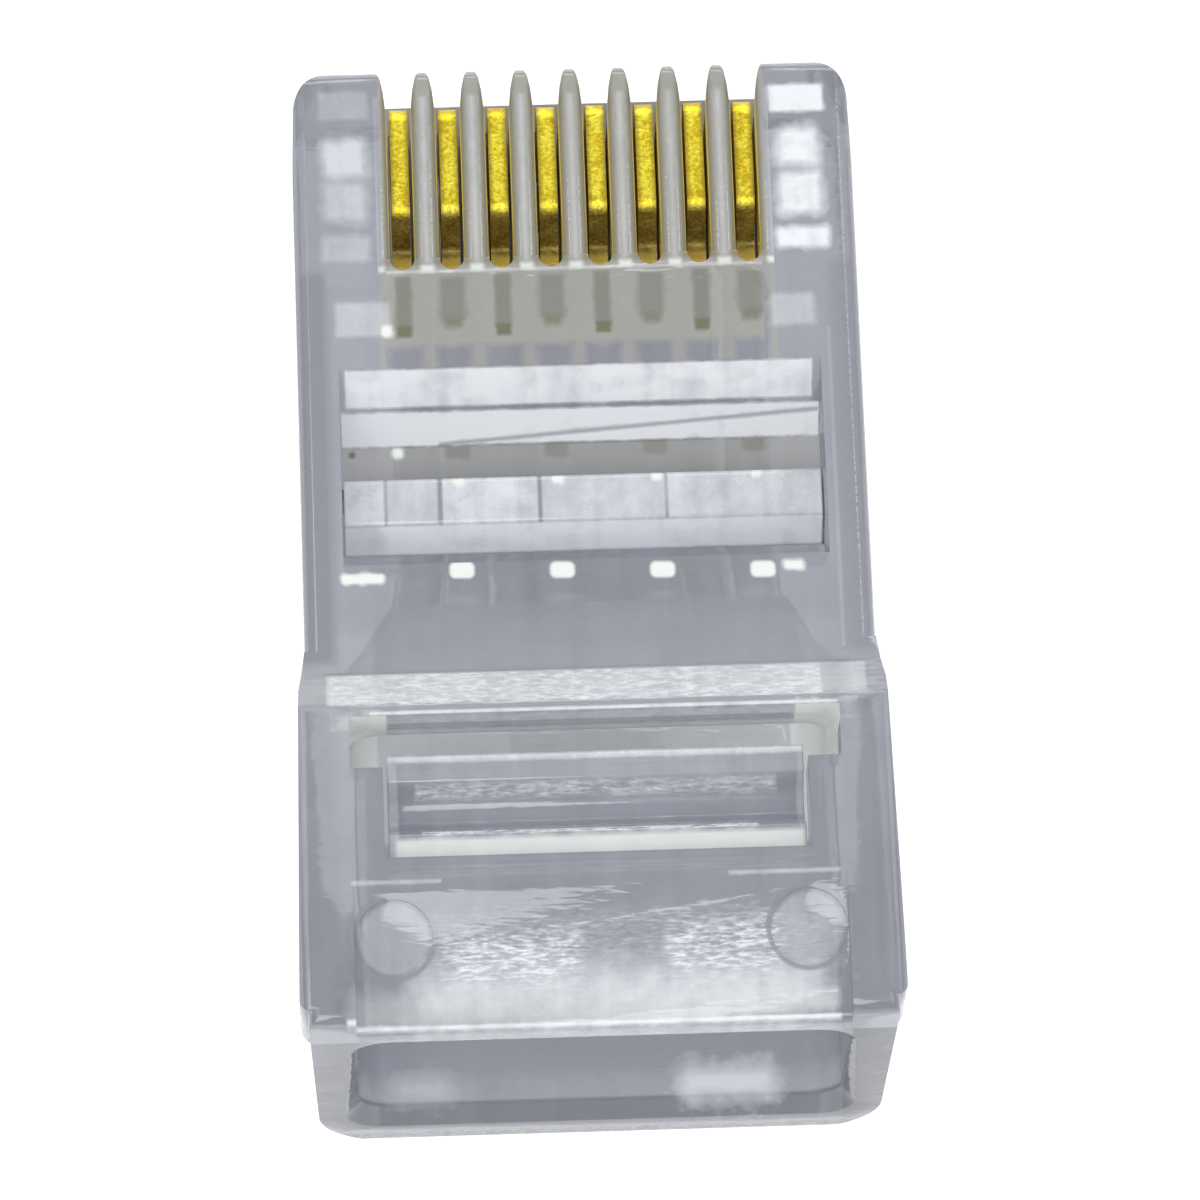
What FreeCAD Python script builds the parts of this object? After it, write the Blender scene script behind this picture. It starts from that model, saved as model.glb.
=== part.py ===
"""Eight-position modular plug for twisted-pair cable: a clear moulded housing with its
latch and two crimp bars, and eight blade contacts.

Frame, in millimetres: the origin is the centre of the nose face, +Y points out of the
nose into the jack, +Z points out of the contact side, and X runs across the contacts.
"Depth" is the distance behind the nose face, so y = -depth.
"""
import FreeCAD
import Part

import os
from math import atan2, cos, degrees, radians, sin, tan

Vector = FreeCAD.Vector

# Body
NOSE_WIDTH = 11.6
NOSE_HEIGHT = 6.6
STEP_DEPTH = 13.2          # nose face to the step up to the cable end
STEP_RAMP = 0.95           # length of the slope that the step climbs
STEP_RISE = 0.7            # how far the contact side steps up
LENGTH = 21.1
REAR_SET_BACK = 0.3        # upper edge of the cable end's face, forward of its lower edge
REAR_GROWTH = 0.1          # how much wider each side is at the cable end than at the nose
REAR_DRAFT = 0.15          # how much narrower each side is at the heel than above
SHOULDER_HEIGHT = 2.4      # the shoulders on the cable end's sides, from the top down
SHOULDER_FRONT = 0.14      # how far they stand out beyond the nose's sides, in front
SHOULDER_BACK = 0.28       # and behind
SHOULDER_END = 20.5
HEEL_DROP = 0.5            # how far the latch side steps down at the cable end
HEEL_LENGTH = 4.0
EDGE_RADIUS = 0.3
NOSE_LEAD = 0.08           # how much narrower each side is at the nose face
NOSE_LEAD_LENGTH = 2.5
NOSE_CORNER = 0.9          # radius of the nose's outer corners, seen from the contact side
NOSE_ROUND = 0.35          # radius of the nose's upper and lower front edges
STEP_CORNER = 0.8          # radius of the cable end's lower corners, at the step
HEEL_CORNER = 1.8          # and at its rear face

# Contacts and their comb
POSITIONS = 8
PITCH = 1.02
SLOT_WIDTH = 0.5
SLOT_BACK_GAP = 0.4        # slot behind the blades
SLOT_DROP = 2.2            # depth of the slots below the contact side
FLARE_LENGTH = 1.3         # length over which each ridge narrows to its tip
RIDGE_ROUND = 0.18
BLADE_THICKNESS = 0.38
BLADE_CLEARANCE = 0.02     # each side of a blade, in its pocket
BLADE_FRONT = 0.65
BLADE_LENGTH = 3.45
BLADE_SUNK = 0.35          # blade crown below the contact side, before crimping
CROWN_LENGTH = 2.4
BLADE_SLOPE = 0.58
LEDGE_DROP = 0.85          # blade crown to the ledge behind it
TINES = 3
TINE_HEIGHT = 0.85
TINE_GAP = 0.06            # tine points above the wires, before crimping
CRIMP_TRAVEL = 0.6

# Wires: even positions run in the upper row, odd positions in the lower row
CHANNEL_WIDTH = 0.96
CHANNEL_CORNER = 0.4
CHANNEL_FRONT = 0.9
UPPER_ROW = -0.05          # height of the upper row's centre line
ROW_STEP = 0.9             # upper row down to the lower row
RELIEF_ROOF = 1.0          # the pockets run on behind the slots below this height
UPPER_RELIEF = 0.5         # for so far over the upper row's wires
LOWER_RELIEF = 0.9         # and for so far over the lower row's

# Wire clamp: a crimp bar in a trough across the contact side
TROUGH_GAP = 2.14          # slots to the trough's front edge
TROUGH_HALF = 4.95
TROUGH_FLOOR = 1.45
TROUGH_RAMP = 1.08
RAMP_KNEE = 0.55           # share of the ramp's run that its upper facet takes
RAMP_KNEE_DROP = 0.9
WIRE_BAR_FRONT_GAP = 0.92  # trough floor in front of the bar
WIRE_BAR_BACK_GAP = 0.86   # and behind it
WIRE_BAR_LENGTH = 1.4
WIRE_BAR_RISE = 0.75       # bar top above the trough's floor
WIRE_BAR_SLOPE = 0.4
BAR_CLEARANCE = 0.04
FINGER_GAP = 0.08          # clamp fingers above the wires, before crimping
FINGER_WIDTH = 0.7
WIRE_BAR_TRAVEL = 0.5

# Cable cavity and its funnel
WALL = 0.85
FLOOR = 0.9
ROOF = 1.3                 # roof of the cavity below the raised contact side
CAVITY_CORNER = 0.8
FUNNEL_GAP = 0.4           # trough to the funnel's throat
FUNNEL_LENGTH = 1.9
FUNNEL_MARGIN = 0.12       # funnel throat beyond the outermost channels
MOUTH_FLARE = 0.35

# Cable clamp: a crimp bar hinged in a window of the raised contact side
WINDOW_LAND = 0.2          # raised contact side in front of the window
WINDOW_WIDE = 1.1          # length of the window's full-width front part
CABLE_BAR_GAP = 0.7        # window in front of the bar
CABLE_BAR_LENGTH = 2.15    # bar's front face to its hinge line
CABLE_BAR_HALF = 4.2
CABLE_BAR_SUNK = 0.4       # bar top below the raised contact side
CABLE_BAR_HEIGHT = 1.45
CABLE_HINGE_RADIUS = 0.3
LAND_LENGTH = 0.6          # flat in front of the bar's groove
LIP_LENGTH = 0.45          # flat behind it
GROOVE_DROP = 0.6
CABLE_BAR_ANGLE = 30.0

# Rear plate behind the cable clamp
PLATE_LAND = 0.35          # raised contact side between the window and the plate's slope
PLATE_DROP = 0.65          # how far the plate slopes down to the cable mouth
PLATE_HALF = 4.95
PLATE_ROUND = 0.2          # radius of its rear edge
MARK_RADIUS = 0.78
MARK_RECESS = 0.12
MARK_SPACING = 8.3
MARK_FROM_END = 2.13

# Latch
BOSS_FRONT = 0.45
BOSS_DROP = 1.6
LATCH_HALF = 3.1
LEVER_HALF = 1.62
HINGE_DEPTH = 2.5
HINGE_RISE = 0.5           # hinge line above the boss's lowest face
HINGE_RADIUS = 0.42
HINGE_CLEARANCE = 0.04
LATCH_ANGLE = 10.0         # free angle of the latch below the body
LATCH_TRAVEL = 11.0
CATCH_LENGTH = 6.0         # hinge line to the catch shoulders
CATCH_THICKNESS = 1.15
LEVER_LENGTH = 13.3
LEVER_THICKNESS = 0.9
LEVER_OUTER = 0.5          # lever's outer face below the hinge line
LEVER_TIP = 0.35
LEVER_FLARE = 0.35         # how much wider the lever's thumb end is, each side

# Worked-out values
TOP = NOSE_HEIGHT / 2
BOTTOM = -TOP
RAISED = TOP + STEP_RISE
HEEL = BOTTOM - HEEL_DROP
NOSE_HALF = NOSE_WIDTH / 2
REAR_HALF = NOSE_HALF + REAR_GROWTH
SHOULDER_HALF = NOSE_HALF + SHOULDER_BACK
CAVITY_HALF = NOSE_HALF - WALL
CAVITY_FLOOR = BOTTOM + FLOOR
CAVITY_ROOF = RAISED - ROOF
SLOT_HALF = SLOT_WIDTH / 2
RIDGE_HALF = (PITCH - SLOT_WIDTH) / 2
SLOT_FLOOR = TOP - SLOT_DROP
CROWN = TOP - BLADE_SUNK
BLADE_BACK = BLADE_FRONT + BLADE_LENGTH
SLOT_LENGTH = BLADE_BACK + SLOT_BACK_GAP
TROUGH_DEPTH = SLOT_LENGTH + TROUGH_GAP
WIRE_BAR_DEPTH = TROUGH_DEPTH + TROUGH_RAMP + WIRE_BAR_FRONT_GAP
WIRE_BAR_BACK = WIRE_BAR_DEPTH + WIRE_BAR_LENGTH
WIRE_BAR_HALF = TROUGH_HALF - BAR_CLEARANCE
TROUGH_BACK = WIRE_BAR_BACK + WIRE_BAR_BACK_GAP
FUNNEL_FRONT = TROUGH_BACK + FUNNEL_GAP
WINDOW_DEPTH = STEP_DEPTH + STEP_RAMP + WINDOW_LAND
CABLE_BAR_DEPTH = WINDOW_DEPTH + CABLE_BAR_GAP
CABLE_HINGE_DEPTH = CABLE_BAR_DEPTH + CABLE_BAR_LENGTH
CABLE_HINGE_HEIGHT = RAISED - CABLE_BAR_SUNK - CABLE_HINGE_RADIUS
PLATE_DEPTH = CABLE_HINGE_DEPTH + CABLE_HINGE_RADIUS + PLATE_LAND
HINGE_HEIGHT = BOTTOM - BOSS_DROP + HINGE_RISE
BEYOND = 5.0               # how far a cutting tool runs past the body
OVERLAP = 0.1              # how far pieces of one solid or one hollow run into each other

# Where (first, second, along) of a profile and its extrusion go in the frame
PLACES = {
    "x": lambda depth, z, x: Vector(x, -depth, z),
    "y": lambda x, z, depth: Vector(x, -depth, z),
    "z": lambda x, depth, z: Vector(x, -depth, z),
}


def wire(axis, corners, along):
    """A closed wire through (first, second, radius) corners, each rounded by its radius."""
    place = PLACES[axis]
    stops = []
    for i, (u, v, radius) in enumerate(corners):
        here = Vector(u, v, 0)
        before = Vector(*corners[i - 1][:2], 0) - here
        after = Vector(*corners[(i + 1) % len(corners)][:2], 0) - here
        before.normalize()
        after.normalize()
        if not radius:
            stops.append((here, None, here))
            continue
        half = before.getAngle(after) / 2
        run = radius / tan(half)
        middle = before + after
        middle.normalize()
        bulge = radius / sin(half) - radius
        stops.append((here + before * run, here + middle * bulge, here + after * run))
    edges = []
    for i, (start, middle, end) in enumerate(stops):
        ends = [place(p.x, p.y, along) for p in (start, end)]
        if middle is not None:
            edges.append(Part.Arc(ends[0], place(middle.x, middle.y, along), ends[1]).toShape())
        following = stops[(i + 1) % len(stops)][0]
        target = place(following.x, following.y, along)
        if (target - ends[1]).Length > 1e-6:
            edges.append(Part.LineSegment(ends[1], target).toShape())
    return Part.Wire(edges)


def prism(axis, corners, start, end):
    """The solid of a rounded profile extruded along an axis from start to end."""
    run = PLACES[axis](0, 0, end) - PLACES[axis](0, 0, start)
    return Part.Face(wire(axis, corners, start)).extrude(run)


def rectangle(u0, u1, v0, v1, radius=0.0):
    return [(u0, v0, radius), (u1, v0, radius), (u1, v1, radius), (u0, v1, radius)]


def block(x0, x1, depth0, depth1, z0, z1):
    return prism("z", rectangle(x0, x1, depth0, depth1), z0, z1)


def rod(depth, z, radius, half):
    """A round bar across the plug, centred on its middle plane."""
    return Part.makeCylinder(radius, 2 * half, Vector(-half, -depth, z), Vector(1, 0, 0))


def position_x(i):
    """Centre of contact position i, counted from 1."""
    return (i - (POSITIONS + 1) / 2) * PITCH


def row_height(i):
    """Height of the wire channel's centre line at position i."""
    return UPPER_ROW if i % 2 == 0 else UPPER_ROW - ROW_STEP


# Housing, outside


def front_body():
    """The part that enters the jack, from its three outlines."""
    end = STEP_DEPTH + OVERLAP
    section = rectangle(-NOSE_HALF, NOSE_HALF, BOTTOM, TOP, EDGE_RADIUS)
    plan = [
        (NOSE_LEAD - NOSE_HALF, 0, NOSE_CORNER),
        (NOSE_HALF - NOSE_LEAD, 0, NOSE_CORNER),
        (NOSE_HALF, NOSE_LEAD_LENGTH, 0),
        (NOSE_HALF, end, 0),
        (-NOSE_HALF, end, 0),
        (-NOSE_HALF, NOSE_LEAD_LENGTH, 0),
    ]
    side = [(0, BOTTOM, NOSE_ROUND), (0, TOP, NOSE_ROUND), (end, TOP, 0), (end, BOTTOM, 0)]
    body = prism("y", section, 0, end)
    body = body.common(prism("z", plan, BOTTOM, TOP))
    return body.common(prism("x", side, -NOSE_HALF, NOSE_HALF))


def rear_side():
    """Side view of the cable end: step, raised contact side, leaning end face and heel."""
    heel_start = LENGTH - HEEL_LENGTH
    return [
        (STEP_DEPTH, TOP, 0),
        (STEP_DEPTH + STEP_RAMP, RAISED, EDGE_RADIUS),
        (LENGTH - REAR_SET_BACK, RAISED, EDGE_RADIUS),
        (LENGTH, HEEL, EDGE_RADIUS),
        (heel_start, HEEL, 0),
        (heel_start - HEEL_DROP, BOTTOM, 0),
        (STEP_DEPTH, BOTTOM, 0),
    ]


def rear_body():
    """The thicker cable end."""
    ends = []
    for depth, corner in ((STEP_DEPTH, STEP_CORNER), (LENGTH, HEEL_CORNER)):
        section = [
            (REAR_DRAFT - REAR_HALF, HEEL, corner),
            (REAR_HALF - REAR_DRAFT, HEEL, corner),
            (REAR_HALF, RAISED, EDGE_RADIUS),
            (-REAR_HALF, RAISED, EDGE_RADIUS),
        ]
        ends.append(wire("y", section, depth))
    plan = [
        (-NOSE_HALF, STEP_DEPTH, 0),
        (NOSE_HALF, STEP_DEPTH, 0),
        (REAR_HALF, LENGTH, EDGE_RADIUS),
        (-REAR_HALF, LENGTH, EDGE_RADIUS),
    ]
    body = Part.makeLoft(ends, True, True)
    body = body.common(prism("z", plan, HEEL, RAISED))
    return body.common(prism("x", rear_side(), -REAR_HALF, REAR_HALF))


def shoulders():
    """The ledges along both sides of the cable end, level with its contact side."""
    low = RAISED - SHOULDER_HEIGHT
    front_half = NOSE_HALF + SHOULDER_FRONT
    ramp = STEP_DEPTH + STEP_RAMP
    section = rectangle(-SHOULDER_HALF, SHOULDER_HALF, low, RAISED, EDGE_RADIUS)
    plan = [
        (-NOSE_HALF, STEP_DEPTH - STEP_RAMP / 2, 0),
        (NOSE_HALF, STEP_DEPTH - STEP_RAMP / 2, 0),
        (front_half, ramp - STEP_RAMP / 2, STEP_RAMP),
        (SHOULDER_HALF, SHOULDER_END, EDGE_RADIUS),
        (-SHOULDER_HALF, SHOULDER_END, EDGE_RADIUS),
        (-front_half, ramp - STEP_RAMP / 2, STEP_RAMP),
    ]
    side = [
        (STEP_DEPTH - STEP_RAMP, low, 0),
        (STEP_DEPTH - STEP_RAMP, TOP, 0),
        (STEP_DEPTH, TOP, 0),
        (ramp, RAISED, EDGE_RADIUS),
        (SHOULDER_END, RAISED, EDGE_RADIUS / 2),
        (SHOULDER_END, low, 0),
    ]
    body = prism("y", section, STEP_DEPTH - STEP_RAMP, SHOULDER_END)
    body = body.common(prism("z", plan, low, RAISED))
    return body.common(prism("x", side, -SHOULDER_HALF, SHOULDER_HALF))


def latch_boss():
    """The block below the nose that carries the latch, with the seat of its hinge."""
    side = [
        (BOSS_FRONT, BOTTOM + NOSE_ROUND, 0),
        (HINGE_DEPTH, BOTTOM + NOSE_ROUND, 0),
        (HINGE_DEPTH, BOTTOM - BOSS_DROP, 0),
        (BOSS_FRONT, BOTTOM - BOSS_DROP, NOSE_ROUND),
    ]
    boss = prism("x", side, -LATCH_HALF, LATCH_HALF)
    seat = rod(HINGE_DEPTH, HINGE_HEIGHT, HINGE_RADIUS + HINGE_CLEARANCE, LATCH_HALF + OVERLAP)
    return boss.cut(seat)


# Housing, inside


def cable_cavity():
    """The hollow that takes the cable's jacket, flared at its mouth."""
    start = FUNNEL_FRONT + FUNNEL_LENGTH
    section = rectangle(-CAVITY_HALF, CAVITY_HALF, CAVITY_FLOOR, CAVITY_ROOF, CAVITY_CORNER)
    hollow = prism("y", section, start, LENGTH + BEYOND)
    wide = rectangle(
        -CAVITY_HALF - MOUTH_FLARE,
        CAVITY_HALF + MOUTH_FLARE,
        CAVITY_FLOOR - MOUTH_FLARE,
        CAVITY_ROOF + MOUTH_FLARE,
        CAVITY_CORNER,
    )
    flare = [wire("y", section, LENGTH - MOUTH_FLARE), wire("y", wide, LENGTH)]
    return hollow.fuse(Part.makeLoft(flare, True, True))


def wire_funnel():
    """Narrows from the cavity to the mouths of the wire channels."""
    half = CHANNEL_WIDTH / 2
    throat_half = position_x(POSITIONS) + half + FUNNEL_MARGIN
    throat = rectangle(
        -throat_half,
        throat_half,
        row_height(1) - half - FUNNEL_MARGIN,
        row_height(2) + half + FUNNEL_MARGIN,
        CHANNEL_CORNER,
    )
    section = rectangle(-CAVITY_HALF, CAVITY_HALF, CAVITY_FLOOR, CAVITY_ROOF, CAVITY_CORNER)
    ends = [wire("y", throat, FUNNEL_FRONT), wire("y", section, FUNNEL_FRONT + FUNNEL_LENGTH)]
    return Part.makeLoft(ends, True, True)


def wire_channels():
    """One channel for each insulated wire, closed at the nose."""
    half = CHANNEL_WIDTH / 2
    tools = []
    for i in range(1, POSITIONS + 1):
        x, z = position_x(i), row_height(i)
        section = rectangle(x - half, x + half, z - half, z + half, CHANNEL_CORNER)
        tools.append(prism("y", section, CHANNEL_FRONT, FUNNEL_FRONT + FUNNEL_LENGTH / 4))
    return tools


def contact_slots():
    """The comb: slots with round back ends, between ridges that narrow to their tips."""
    depth = FLARE_LENGTH
    back = SLOT_LENGTH - SLOT_HALF
    tools = []
    for i in range(1, POSITIONS + 1):
        x = position_x(i)

        def at(dx, d):
            return PLACES["z"](x + dx, d, SLOT_FLOOR)

        edges = [Part.Arc(at(-SLOT_HALF, back), at(0, SLOT_LENGTH), at(SLOT_HALF, back)).toShape()]
        for side in (1, -1):
            edges.append(
                Part.LineSegment(at(side * SLOT_HALF, back), at(side * SLOT_HALF, depth)).toShape()
            )
            centre = at(side * PITCH / 2, depth)
            long_end = at(side * PITCH / 2, 0)
            short_end = at(side * SLOT_HALF, depth)
            flare = Part.Ellipse(long_end, short_end, centre)
            first, last = sorted((flare.parameter(long_end), flare.parameter(short_end)))
            edges.append(Part.Edge(flare, first, last))
            edges.append(Part.LineSegment(long_end, at(side * PITCH / 2, -BEYOND)).toShape())
        edges.append(Part.LineSegment(at(-PITCH / 2, -BEYOND), at(PITCH / 2, -BEYOND)).toShape())
        outline = Part.Wire(Part.__sortEdges__(edges))
        tools.append(Part.Face(outline).extrude(Vector(0, 0, SLOT_DROP + BEYOND)))
    return tools


def slot_mouths():
    """Round over the ridges' top edges, along the straight part of each slot."""
    half = SLOT_HALF + RIDGE_HALF
    tools = []
    for i in range(1, POSITIONS + 1):
        x = position_x(i)
        corners = [
            (x - half, TOP + OVERLAP, 0),
            (x - half, TOP, 0),
            (x - SLOT_HALF, TOP, RIDGE_ROUND),
            (x - SLOT_HALF, TOP - 2 * RIDGE_ROUND, 0),
            (x + SLOT_HALF, TOP - 2 * RIDGE_ROUND, 0),
            (x + SLOT_HALF, TOP, RIDGE_ROUND),
            (x + half, TOP, 0),
            (x + half, TOP + OVERLAP, 0),
        ]
        tools.append(prism("y", corners, -BEYOND, SLOT_LENGTH - SLOT_HALF))
    return tools


def blade_pockets():
    """Close-fitting pockets from the slots down to the wires, relieved behind the blades."""
    half = BLADE_THICKNESS / 2 + BLADE_CLEARANCE
    front, back = BLADE_FRONT - BAR_CLEARANCE, BLADE_BACK + BAR_CLEARANCE
    tools = []
    for i in range(1, POSITIONS + 1):
        x, low = position_x(i), row_height(i)
        end = SLOT_LENGTH + (LOWER_RELIEF if i % 2 else UPPER_RELIEF)
        tools.append(block(x - half, x + half, front, back, low, SLOT_FLOOR + BLADE_CLEARANCE))
        tools.append(block(x - half, x + half, back - OVERLAP, end, low, RELIEF_ROOF))
    return tools


def clamp_trough():
    """The trough across the contact side, with a two-facet ramp at its front."""
    knee = TROUGH_DEPTH + TROUGH_RAMP * RAMP_KNEE
    side = [
        (TROUGH_DEPTH - BEYOND * TROUGH_RAMP * RAMP_KNEE / RAMP_KNEE_DROP, TOP + BEYOND, 0),
        (knee, TOP - RAMP_KNEE_DROP, 0),
        (TROUGH_DEPTH + TROUGH_RAMP, TROUGH_FLOOR, 0),
        (TROUGH_BACK, TROUGH_FLOOR, 0),
        (TROUGH_BACK, TOP + BEYOND, 0),
    ]
    return prism("x", side, -TROUGH_HALF, TROUGH_HALF)


def clamp_window():
    """The opening in the trough's floor that the wire clamp bar slides in."""
    front, back = WIRE_BAR_DEPTH - BAR_CLEARANCE, WIRE_BAR_BACK + BAR_CLEARANCE
    tools = [block(-TROUGH_HALF, TROUGH_HALF, front, back, row_height(2), TROUGH_FLOOR + OVERLAP)]
    reach = FINGER_WIDTH / 2 + BAR_CLEARANCE
    for i in range(1, POSITIONS + 1, 2):
        x = position_x(i)
        tools.append(block(x - reach, x + reach, front, back, row_height(i), row_height(2) + OVERLAP))
    return tools


def cable_window():
    """The window for the cable clamp: full width in front, bar width behind."""
    low = CAVITY_ROOF - CAVITY_CORNER
    high = RAISED + BEYOND
    wide_end = WINDOW_DEPTH + WINDOW_WIDE
    half = CABLE_BAR_HALF + 2 * BAR_CLEARANCE
    back = CABLE_HINGE_DEPTH + CABLE_HINGE_RADIUS / 2
    wide = block(-CAVITY_HALF, CAVITY_HALF, WINDOW_DEPTH, wide_end, low, high)
    narrow = block(-half, half, wide_end - OVERLAP, back, low, high)
    seat = rod(CABLE_HINGE_DEPTH, CABLE_HINGE_HEIGHT, CABLE_HINGE_RADIUS + HINGE_CLEARANCE, half)
    throat_end = CABLE_HINGE_DEPTH + CABLE_HINGE_RADIUS
    throat = block(-half, half, back - OVERLAP, throat_end, low, CABLE_HINGE_HEIGHT)
    return [wide, narrow, seat, throat]


def rear_face(z):
    """Depth of the leaning rear face at a height."""
    return LENGTH - REAR_SET_BACK * (z - HEEL) / (RAISED - HEEL)


def plate_slope():
    """Takes the rear plate down to a rounded edge at the cable mouth, between the side rails."""
    edge = RAISED - PLATE_DROP
    below = edge - 2 * PLATE_ROUND
    side = [
        (PLATE_DEPTH, RAISED, 0),
        (rear_face(edge), edge, PLATE_ROUND),
        (rear_face(below), below, 0),
        (LENGTH + BEYOND, below, 0),
        (LENGTH + BEYOND, RAISED + BEYOND, 0),
        (PLATE_DEPTH, RAISED + BEYOND, 0),
    ]
    return prism("x", side, -PLATE_HALF, PLATE_HALF)


def ejector_marks():
    """Two shallow round marks on the sloped rear plate."""
    lean = atan2(PLATE_DROP, rear_face(RAISED - PLATE_DROP) - PLATE_DEPTH)
    depth = LENGTH - MARK_FROM_END
    z = RAISED - tan(lean) * (depth - PLATE_DEPTH)
    down = Vector(0, sin(lean), -cos(lean))
    tools = []
    for side in (-1, 1):
        centre = Vector(side * MARK_SPACING / 2, -depth, z) - down * BEYOND
        tools.append(Part.makeCylinder(MARK_RADIUS, BEYOND + MARK_RECESS, centre, down))
    return tools


def housing():
    solid = front_body().fuse([rear_body(), shoulders(), latch_boss()])
    hollows = [cable_cavity(), wire_funnel(), clamp_trough(), plate_slope()]
    hollows += wire_channels() + contact_slots() + slot_mouths() + blade_pockets()
    hollows += clamp_window() + cable_window() + ejector_marks()
    for tool in hollows:
        solid = solid.cut(tool)
    return solid.removeSplitter()


# Moving pieces


def contact(i):
    """One blade: rounded crown, ledge behind it, and tines over its wire."""
    x = position_x(i)
    points = row_height(i) + CHANNEL_WIDTH / 2 + TINE_GAP
    slope_end = BLADE_FRONT + CROWN_LENGTH + BLADE_SLOPE
    ledge = CROWN - LEDGE_DROP
    side = [
        (BLADE_FRONT, CROWN, BLADE_THICKNESS),
        (BLADE_FRONT + CROWN_LENGTH, CROWN, BLADE_THICKNESS),
        (slope_end, ledge, BLADE_THICKNESS / 2),
        (BLADE_BACK, ledge, BLADE_THICKNESS / 3),
    ]
    run = (BLADE_BACK - BLADE_FRONT) / TINES
    for k in range(TINES, 0, -1):
        side.append((BLADE_FRONT + (k - 0.25) * run, points, 0))
        side.append((BLADE_FRONT + (k - 0.75) * run, points, 0))
        if k > 1:
            side.append((BLADE_FRONT + (k - 1) * run, points + TINE_HEIGHT, 0))
    return prism("x", side, x - BLADE_THICKNESS / 2, x + BLADE_THICKNESS / 2)


def wire_clamp():
    """The bar that the crimp tool presses down on the wires, with a finger for each wire."""
    top = TROUGH_FLOOR + WIRE_BAR_RISE
    base = row_height(2) + CHANNEL_WIDTH / 2 + FINGER_GAP
    side = [
        (WIRE_BAR_DEPTH, base, 0),
        (WIRE_BAR_DEPTH, top, EDGE_RADIUS / 2),
        (WIRE_BAR_BACK - WIRE_BAR_SLOPE, top, EDGE_RADIUS / 2),
        (WIRE_BAR_BACK, TROUGH_FLOOR, 0),
        (WIRE_BAR_BACK, base, 0),
    ]
    bar = prism("x", side, -WIRE_BAR_HALF, WIRE_BAR_HALF)
    fingers = []
    for i in range(1, POSITIONS + 1, 2):
        x = position_x(i)
        low = row_height(i) + CHANNEL_WIDTH / 2 + FINGER_GAP
        half = FINGER_WIDTH / 2
        fingers.append(block(x - half, x + half, WIRE_BAR_DEPTH, WIRE_BAR_BACK, low, base + OVERLAP))
    return bar.fuse(fingers).removeSplitter()


def cable_clamp():
    """The hinged bar that the crimp tool turns down on the cable's jacket."""
    top = RAISED - CABLE_BAR_SUNK
    low = top - CABLE_BAR_HEIGHT
    heel = CABLE_HINGE_HEIGHT - CABLE_HINGE_RADIUS
    groove_start = CABLE_BAR_DEPTH + LAND_LENGTH
    groove_end = CABLE_HINGE_DEPTH - LIP_LENGTH
    side = [
        (CABLE_BAR_DEPTH, low, EDGE_RADIUS / 2),
        (CABLE_BAR_DEPTH, top, EDGE_RADIUS / 2),
        (groove_start, top, 0),
        (groove_start + GROOVE_DROP / 2, top - GROOVE_DROP, EDGE_RADIUS),
        (groove_end - GROOVE_DROP / 2, top - GROOVE_DROP, EDGE_RADIUS),
        (groove_end, top, 0),
        (CABLE_HINGE_DEPTH, top, 0),
        (CABLE_HINGE_DEPTH, heel, 0),
    ]
    bar = prism("x", side, -CABLE_BAR_HALF, CABLE_BAR_HALF)
    knuckle = rod(CABLE_HINGE_DEPTH, CABLE_HINGE_HEIGHT, CABLE_HINGE_RADIUS, CABLE_BAR_HALF)
    return bar.fuse(knuckle).removeSplitter()


def latch():
    """The sprung latch at its free angle: wide to the catch shoulders, then a thumb lever."""
    def local(length, out, radius=0.0):
        return (HINGE_DEPTH + length, HINGE_HEIGHT - out, radius)

    root = -HINGE_RADIUS
    catch = [
        local(0, HINGE_RADIUS),
        local(0, root),
        local(2 * HINGE_RADIUS, root),
        local(CATCH_LENGTH, LEVER_OUTER - CATCH_THICKNESS),
        local(CATCH_LENGTH, LEVER_OUTER),
        local(2 * HINGE_RADIUS, LEVER_OUTER),
    ]
    lever = [
        local(0, HINGE_RADIUS),
        local(0, root),
        local(LEVER_LENGTH, LEVER_OUTER - LEVER_THICKNESS, LEVER_TIP),
        local(LEVER_LENGTH, LEVER_OUTER, LEVER_TIP),
        local(2 * HINGE_RADIUS, LEVER_OUTER),
    ]
    low, high = HINGE_HEIGHT - BEYOND, HINGE_HEIGHT + BEYOND
    thumb = HINGE_DEPTH + LEVER_LENGTH
    flare = 3 * LEVER_FLARE
    plan = [
        (-LEVER_HALF, HINGE_DEPTH, 0),
        (LEVER_HALF, HINGE_DEPTH, 0),
        (LEVER_HALF, thumb - 2 * flare, 2 * flare),
        (LEVER_HALF + LEVER_FLARE, thumb - flare, flare / 2),
        (LEVER_HALF + LEVER_FLARE, thumb, LEVER_TIP),
        (-LEVER_HALF - LEVER_FLARE, thumb, LEVER_TIP),
        (-LEVER_HALF - LEVER_FLARE, thumb - flare, flare / 2),
        (-LEVER_HALF, thumb - 2 * flare, 2 * flare),
    ]
    tongue = prism("x", lever, -LATCH_HALF, LATCH_HALF).common(prism("z", plan, low, high))
    knuckle = rod(HINGE_DEPTH, HINGE_HEIGHT, HINGE_RADIUS, LATCH_HALF)
    solid = prism("x", catch, -LATCH_HALF, LATCH_HALF).fuse([tongue, knuckle]).removeSplitter()
    solid.rotate(Vector(0, -HINGE_DEPTH, HINGE_HEIGHT), Vector(1, 0, 0), LATCH_ANGLE)
    return solid


def main():
    pieces = {
        "housing": housing(),
        "latch": latch(),
        "cable_clamp": cable_clamp(),
        "wire_clamp": wire_clamp(),
    }
    for i in range(1, POSITIONS + 1):
        pieces[f"contact_{i}"] = contact(i)
    os.makedirs("parts", exist_ok=True)
    for name, shape in pieces.items():
        solids = shape.Solids
        if len(solids) != 1 or not solids[0].isValid():
            raise ValueError(f"{name} came out as {len(solids)} solids")
        solids[0].exportStep(f"parts/{name}.step")
        print(f"{name}: {solids[0].Volume:.3f} mm3")


main()
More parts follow.
